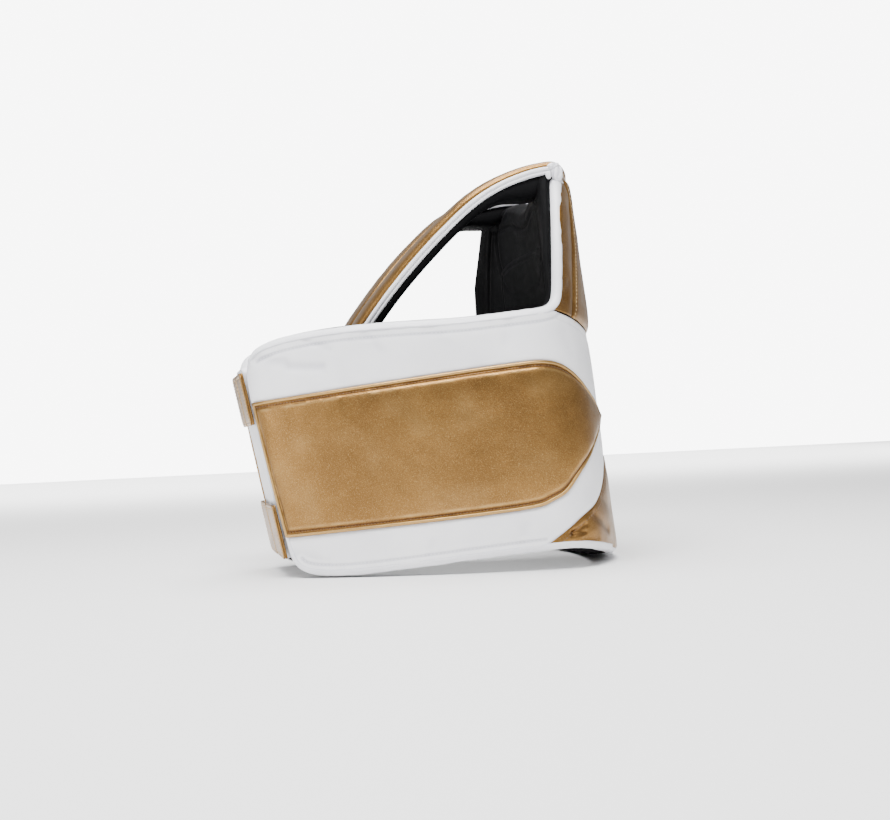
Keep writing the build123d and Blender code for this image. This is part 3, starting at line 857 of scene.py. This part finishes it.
STRAP_THICK = 17.0
PAD_SWELL = ([72, 96, 120, 142, 160], [9, 12, 25, 22, 2])
STRAP_TOP = 461.0
CREST_X = 150.0
CREST_RADIUS = 190.0
CREST_SWEEP = math.radians(36.0)
BACK_RADIUS = 700.0
BACK_SWEEP = math.radians(55.0)
STRAP_END_X = -226.0
STRAP_SEAT_X = 171.5
STRAP_OUT_Y = ([-216, -60, 60, 173], [-34, -72, -112, -128])
STRAP_IN_Y = ([-216, -60, 60, 173], [-3, -14, -56, -70])
STRAP_ROLLS = (("upper", (1.4, 10.2, 2.8, 0.95)), ("lower", (2.2, 14.3, 2.5, 0.9)))
PAD_FROM = 11.5
BACK_POINT = (-217.0, 240.0)
PANEL_FRONT = 11.6
NOSE = [(173.0, 442.0), (173.5, 450.0), (169.0, 457.5), (161.0, 460.6)]


def strap_line():
    """The crest of a strap in the (x, z) plane, from the chest's top edge down to the back panel."""
    shift = BACK_RADIUS - CREST_RADIUS
    crest = (CREST_X, STRAP_TOP - CREST_RADIUS)
    back = (crest[0] + shift * math.sin(CREST_SWEEP), crest[1] - shift * math.cos(CREST_SWEEP))
    points = list(NOSE)
    for centre, radius, turns in (
        (crest, CREST_RADIUS, np.linspace(0, CREST_SWEEP, 40)),
        (back, BACK_RADIUS, np.linspace(CREST_SWEEP, BACK_SWEEP, 60)[1:]),
    ):
        points += [(centre[0] - radius * math.sin(t), centre[1] + radius * math.cos(t)) for t in turns]
    low = points[-1]
    points.append((STRAP_END_X, low[1] - (low[0] - STRAP_END_X) * math.tan(BACK_SWEEP)))
    return rounded(points, step=2.5, times=2)


LINE = strap_line()
LINE_AHEAD = unit(np.gradient(LINE, axis=0))
LINE_UP = np.stack([LINE_AHEAD[:, 1], -LINE_AHEAD[:, 0]], -1)
RUN = run_of(LINE)


def softened(values, reach=9):
    """A row of values smoothed along a strap."""
    wide = np.pad(values, reach, mode="edge")
    return np.convolve(wide, np.ones(2 * reach + 1) / (2 * reach + 1), mode="valid")


STRAP_OUT = softened(np.interp(LINE[:, 0], *STRAP_OUT_Y))
STRAP_IN = softened(np.interp(LINE[:, 0], *STRAP_IN_Y))
STRAP_MIDDLE = (STRAP_OUT + STRAP_IN) / 2
STRAP_HALF = (STRAP_IN - STRAP_OUT) / 2
SWELL = softened(np.interp(LINE[:, 0], *PAD_SWELL))
THIN = np.interp(RUN, [0, 26], [0.35, 1.0])


def back_slope(step):
    """How much a step in the (x, z) plane goes forward from the back panel's slanted line."""
    return step[..., 0] * math.cos(REAR_SLANT) + step[..., 1] * math.sin(REAR_SLANT)


def back_depth(x, z):
    """Distance forward of the back panel's slanted line."""
    return back_slope(np.stack([x - BACK_POINT[0], z - BACK_POINT[1]], -1))


def strap_places(side, offsets, depths):
    """World places on a strap, from offsets across it and depths below its crest at each step along it."""
    y = STRAP_MIDDLE[:, None] + offsets
    front = FRONT_CENTRE[0] + np.sqrt(np.maximum(FRONT_RADIUS**2 - y**2, 1.0))
    settle = np.interp(RUN, [10, 75], [1.0, 0.0])[:, None] * (front - STRAP_SEAT_X)
    sunk = depths * THIN[:, None]
    x = LINE[:, None, 0] - LINE_UP[:, None, 0] * sunk + settle
    z = LINE[:, None, 1] - LINE_UP[:, None, 1] * sunk
    short = np.maximum(PANEL_FRONT - back_depth(x, z), 0) / -back_slope(LINE_AHEAD)[:, None]
    x, z = x - LINE_AHEAD[:, None, 0] * short, z - LINE_AHEAD[:, None, 1] * short
    return to_world(np.stack([x, y * side, z], -1))


def strap_cover_section():
    """Offsets and depths of the crowned gold cover's loop at each step."""
    turn = np.linspace(0, np.pi, 33)
    across = squarish(np.cos(turn), 0.8)
    rise = np.sin(turn) ** 0.62
    half = STRAP_HALF[:, None] - 0.6
    wave = 0.5 * ripple(RUN[:, None], across[None] * 30, (34, 16), 101)
    wave = wave + 0.2 * ripple(RUN[:, None], across[None] * 30, (11, 9), 102)
    return across[None] * half, 8.6 - 9.8 * rise[None] - wave * rise[None]


def roll_section(side_sign, inset, depth, radius, squash):
    """Offsets and depths of a rolled edge's loop at each step."""
    turn = circle(14)
    wave = 1 + 0.06 * ripple(RUN[:, None], turn[None] * 5, (9, 4), 103)
    across = side_sign * (STRAP_HALF[:, None] - inset) + radius * np.cos(turn)[None] * wave
    return across, depth + radius * squash * np.sin(turn)[None] * wave


def hung(piece):
    """A piece of a strap, which runs from the shield's top edge into the harness, with its placing baked
    into its mesh.
    """
    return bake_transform(piece)


for side, name in SIDES.items():
    offsets, depths = strap_cover_section()
    # Painted shade down the gold cover's sides, lightening to a painted highlight along its crest.
    crown_highlight = np.clip(1 - depths / 10, 0, 1)
    cover = tube(f"{name}_strap_cover_roll", strap_places(side, offsets, depths), tone=0.25 * crown_highlight - 0.2)
    dressed(cover, GOLD)
    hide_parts(f"{name}_strap_cover", f"{name}_strap_foam")
    hung(cover)
    for edge, sign in (("outer", -1), ("inner", 1)):
        for fold, section in STRAP_ROLLS:
            rings = strap_places(side, *roll_section(sign, *section))
            roll = tube(f"{name}_strap_{edge}_{fold}_binding", rings)
            dressed(roll, TRIM)
            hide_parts(f"{name}_strap_binding")
            hung(roll)
    turn = circle(24)
    across = squarish(np.cos(turn), 0.35)
    offsets = across[None] * (STRAP_HALF[:, None] - 2.6)
    sag = 0.5 * ripple(RUN[:, None], across[None] * 20, (30, 18), 104)
    plump = (STRAP_THICK - PAD_FROM + SWELL[:, None]) / 2
    depths = PAD_FROM + plump + (plump + sag) * np.sin(turn)[None]
    lining = tube(f"{name}_strap_lining_face", strap_places(side, offsets, depths))
    dressed(lining, BLACK)
    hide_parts(f"{name}_strap_lining")
    hung(lining)

# Gathered ends of the binding where each strap meets the armhole

KNOT = (153.0, -128.0, 450.0)


def lump(name, centre, radii, seed, side):
    """A gathered lump of folded strip."""
    rows, around, folds, depth = 22, 30, 5, 0.16
    up = np.linspace(0.02, np.pi - 0.02, rows)[:, None]
    turn = circle(around)[None]
    swirl = 1 + depth * np.sin(folds * turn + 3.0 * up + seed) * np.sin(up)
    swirl = swirl + 0.08 * ripple(turn * 3, up * 3, 1.0, seed)
    x = centre[0] + radii[0] * np.sin(up) * np.cos(turn) * swirl
    y = centre[1] + radii[1] * np.sin(up) * np.sin(turn) * swirl
    z = centre[2] + radii[2] * np.cos(up) * swirl
    # Painted shade in the valleys between the folds and painted highlight on their crests.
    tone = np.clip((swirl - 1) * 4, -1, 0.6)
    return tube(name, to_world(np.stack([x, y * side, z], -1)), tone=tone)


for side, name in SIDES.items():
    for part, shift, radii, seed in (
        ("knot", (1.0, 0, -5.5), (6.2, 5.0, 9.0), 1),
        ("knot_fold", (-2.5, -1.5, 3.0), (6.5, 3.4, 3.2), 2),
        ("knot_end", (-10.0, -1.0, -7.0), (3.0, 2.2, 4.6), 3),
    ):
        centre = tuple(a + b for a, b in zip(KNOT, shift))
        piece = lump(f"{name}_{part}", centre, radii, seed, side)
        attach(dressed(piece, TRIM), "front_shield")

# Back panel and closing tabs

PANEL_MIDDLE = 5.5
PANEL_HALF = 41.0
PANEL_LOW, PANEL_HIGH = -186.0, 36.0
PANEL_ROUND = 8.0
WHITE_SKIN, BLACK_SKIN = 1.7, 1.6
RIM_IN, RIM_WIDE, RIM_TALL = 1.2, 1.6, 4.6
TAB_NEAR_Y = 2.5
TAB_ROOT = 8.0
TAB_CORNER = 7.0
TAB_FACE = -4.2
TAB_BACK = -3.05
TAB_STITCH = -5.1
STITCH_IN = 5
TABS = (("upper", -30.0, 30.0, 57.0), ("lower", -183.0, -121.0, 70.0))


def back_places(side, y, up, forward):
    """World places by distance from the middle, up the back panel's slant and forward of it."""
    y, up, forward = np.broadcast_arrays(y, up, forward)
    x = BACK_POINT[0] + forward * math.cos(REAR_SLANT) - up * math.sin(REAR_SLANT)
    z = BACK_POINT[1] + forward * math.sin(REAR_SLANT) + up * math.cos(REAR_SLANT)
    return to_world(np.stack([x, y * side, z], -1))


def into_corner(y, z, width, height, corner):
    """How far places are inside a rounded rectangle's corner squares: along y, along z and in all."""
    over_y = np.maximum(np.abs(y) - width / 2 + corner, 0)
    over_z = np.maximum(np.abs(z) - height / 2 + corner, 0)
    return over_y, over_z, np.hypot(over_y, over_z)


def plate(width, height, corner, across, up):
    """A grid over a rounded rectangle centred on the origin, and its distance in from the edge."""
    u, v = spread(across, 0.7) * 2 - 1, spread(up, 0.7) * 2 - 1
    y, z = np.meshgrid(u * width / 2, v * height / 2, indexing="ij")
    over_y, over_z, reach = into_corner(y, z, width, height, corner)
    scale = np.where(reach > 0, np.maximum(over_y, over_z) / np.maximum(reach, 1e-9), 1.0)
    y = np.sign(y) * (np.abs(y) - over_y + over_y * scale)
    z = np.sign(z) * (np.abs(z) - over_z + over_z * scale)
    reach = into_corner(y, z, width, height, corner)[2]
    edge = np.minimum(np.minimum(width / 2 - np.abs(y), height / 2 - np.abs(z)), corner - reach)
    return y, z, np.maximum(edge, 0)


def frame_path(half_width, half_height, corner, step):
    """A closed clockwise path round a rounded rectangle, in equal steps."""
    points = []
    for across, up, start in ((-1, 1, 180), (1, 1, 90), (1, -1, 0), (-1, -1, -90)):
        for turn in np.radians(np.linspace(start, start - 90, 9)):
            y = across * (half_width - corner) + corner * math.cos(turn)
            points.append((y, up * (half_height - corner) + corner * math.sin(turn)))
    points.append(points[0])
    return resample(points, np.linspace(0, 1, int(run_of(points)[-1] / step)))


def root_fold_rings(low, high, root, count=14):
    """Rings of the doubled end of a tab, where it is sewn to the wing's edge."""
    turn = circle(16)
    across = -root + TAB_ROOT / 2 + (TAB_ROOT / 2 - 0.2) * squarish(np.cos(turn), 0.6)
    forward = -1.55 + 1.4 * squarish(np.sin(turn), 0.6)
    up = np.linspace(low + 0.5, high - 0.5, count)[:, None]
    return across[None], up, forward[None]


PANEL_TALL = PANEL_HIGH - PANEL_LOW
PANEL_CENTRE = (PANEL_LOW + PANEL_HIGH) / 2
y, up, edge = plate(2 * PANEL_HALF, PANEL_TALL, PANEL_ROUND, 60, 120)
up = up + PANEL_CENTRE
bulge = 4.0 * (1 - np.exp(-edge / 2.5)) + 0.25 * ripple(y, up, 24, 111) - 0.5 * groove(edge - 7, 1.2)
# Painted shade in the stitched groove, with a lighter band just inside it that is partly wear and partly
# painted highlight.
tone = 0.3 * groove(edge - 9, 2.0) - 0.6 * groove(edge - 7, 1.2)
core = back_places(1, y, up, PANEL_MIDDLE)
face = back_places(1, y, up, PANEL_MIDDLE - WHITE_SKIN - bulge)
panel = slab("back_panel_white_face", face, core, tone)
dressed(panel, WHITE)
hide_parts("back_panel_cover", "back_panel_foam")
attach(panel, "harness")
backing = slab("back_panel_black_face", back_places(1, y, up, PANEL_MIDDLE + BLACK_SKIN + bulge), core)
dressed(backing, BLACK)
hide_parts("back_panel_lining")
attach(backing, "harness")
rim = frame_path(PANEL_HALF, PANEL_TALL / 2, PANEL_ROUND, 2.5)[:-1]
turn = circle(14)
wave = 1 + 0.05 * ripple(rim[:, 0], rim[:, 1], 9, 112)[:, None]
off = RIM_IN + RIM_WIDE * np.cos(turn)[None] * wave
y, up = beside(rim, loop_inwards(rim), off)
rings = back_places(1, y, up + PANEL_CENTRE, PANEL_MIDDLE + RIM_TALL * np.sin(turn)[None] * wave)
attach(dressed(tube("back_panel_binding", rings, closed=True), TRIM), "harness")

for side, name in SIDES.items():
    for level, low, high, root in TABS:
        body = f"{name}_{level}_closing_tab"
        y, up, edge = plate(root - TAB_NEAR_Y, high - low, TAB_CORNER, 50, 44)
        y, up = y - (root + TAB_NEAR_Y) / 2, up + (low + high) / 2
        plump = 1.1 * (1 - np.exp(-edge / 1.2)) + 0.25 * ripple(y, up, 13, 121 + side)
        plump = plump - 0.5 * groove(edge - 4.5, 0.9)
        fold = np.clip((-y - root + TAB_ROOT) / TAB_ROOT, 0, 1)
        plump = plump * (1 - 0.5 * fold**2)
        # Painted shade in the stitched groove, and the rounded rim lighter, partly wear and partly painted
        # highlight.
        tone = 0.4 * groove(edge - 1.5, 1.2) - 0.6 * groove(edge - 4.5, 1.0)
        face = back_places(side, y, up, TAB_FACE - plump)
        tab = slab(f"{name}_{level}_tab_leather", face, back_places(side, y, up, TAB_BACK), tone)
        dressed(tab, GOLD)
        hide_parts(f"{name}_{level}_tab")
        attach(tab, body)
        ring = frame_path((root - TAB_NEAR_Y) / 2 - STITCH_IN, (high - low) / 2 - STITCH_IN, 4, 3.8)
        ring = ring - np.array([(root + TAB_NEAR_Y) / 2, -(low + high) / 2])
        here = back_places(side, ring[:, 0], ring[:, 1], TAB_STITCH)
        ahead = unit(np.gradient(here, axis=0))
        away = unit(back_places(side, ring[:, 0], ring[:, 1], TAB_STITCH - 1) - here)
        thread = stitches(f"{name}_{level}_tab_stitching", here, ahead, away, long=2.6, wide=0.5)
        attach(dressed(thread, THREAD_GOLD), body)
        rings = back_places(side, *root_fold_rings(low, high, root))
        root_fold = tube(f"{name}_{level}_tab_fold", rings)
        dressed(root_fold, GOLD)
        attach(root_fold, body)
        dressed(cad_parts[f"{name}_{level}_tab_hook"], HOOK)
for level in ("upper", "lower"):
    dressed(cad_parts[f"{level}_loop_patch"], LOOP)

# Floor, light and camera

FLOOR_SIZE = 12
bpy.ops.mesh.primitive_plane_add(size=FLOOR_SIZE, location=(0, 0, 0))
floor = bpy.context.object
floor.name = "floor"
floor_look = bpy.data.materials.new("floor")
floor_look.use_nodes = True
put(floor_look.node_tree.nodes["Principled BSDF"], {"Base Color": (0.9, 0.9, 0.9, 1), "Roughness": 0.9})
floor.data.materials.append(floor_look)

# The empty background is brighter than the light it gives, so that it comes out white
BACKDROP = 8.0
FILL = 0.6
world = bpy.context.scene.world or bpy.data.worlds.new("world")
bpy.context.scene.world = world
world.use_nodes = True
sky = world.node_tree
ray = sky.nodes.new("ShaderNodeLightPath")
glow = spanned(sky, ray.outputs["Is Camera Ray"], 0.0, 1.0, FILL, BACKDROP)
sky.links.new(glow, sky.nodes["Background"].inputs["Strength"])
sky.nodes["Background"].inputs["Color"].default_value = (1.0, 1.0, 1.0, 1)


def softbox(name, place, aim, size, power, cone=180):
    """A rectangular area light that faces a point."""
    data = bpy.data.lights.new(name, "AREA")
    data.shape = "RECTANGLE"
    data.size, data.size_y = size
    data.energy = power
    data.spread = math.radians(cone)
    lamp = bpy.data.objects.new(name, data)
    bpy.context.scene.collection.objects.link(lamp)
    lamp.location = place
    lamp.rotation_euler = (Vector(aim) - Vector(place)).to_track_quat("-Z", "Y").to_euler()


softbox("key", (-0.5, -1.3, 2.2), (0, 0, 0.2), (1.8, 0.9), 120)
softbox("top", (-0.1, 0.3, 2.4), (0, 0, 0.2), (2.0, 1.2), 80)
softbox("rear", (-2.2, -1.3, 0.7), (0, 0, 0.25), (0.8, 1.4), 16)
softbox("backdrop", (1.0, 4.5, 2.6), (1.0, 4.5, 0), (7.0, 4.5), 420, cone=70)

# Camera, in the garment's frame: level with the middle, behind the wearer's right side, and rolled
CAMERA_YAW = math.radians(13.5)
CAMERA_ROLL = math.radians(8.0)
CAMERA_AWAY = 1500.0
CAMERA_ASIDE = 17.0
CAMERA_HEIGHT = 197.0
LENS = 50.56

look = np.array([math.sin(CAMERA_YAW), math.cos(CAMERA_YAW), 0.0])
rightward = np.array([math.cos(CAMERA_YAW), -math.sin(CAMERA_YAW), 0.0])
upward = np.array([0.0, 0.0, 1.0])
spot = -CAMERA_AWAY * look + CAMERA_ASIDE * rightward + CAMERA_HEIGHT * upward
axis_x = turned(rightward * math.cos(CAMERA_ROLL) - upward * math.sin(CAMERA_ROLL))
axis_y = turned(rightward * math.sin(CAMERA_ROLL) + upward * math.cos(CAMERA_ROLL))
axis_z = turned(-look)
camera_data = bpy.data.cameras.new("camera")
camera_data.lens = LENS
camera_data.sensor_width = 36.0
camera = bpy.data.objects.new("camera", camera_data)
bpy.context.scene.collection.objects.link(camera)
facing = Matrix((axis_x, axis_y, axis_z)).transposed().to_4x4()
camera.matrix_world = Matrix.Translation(to_world(spot)) @ facing
bpy.context.scene.camera = camera
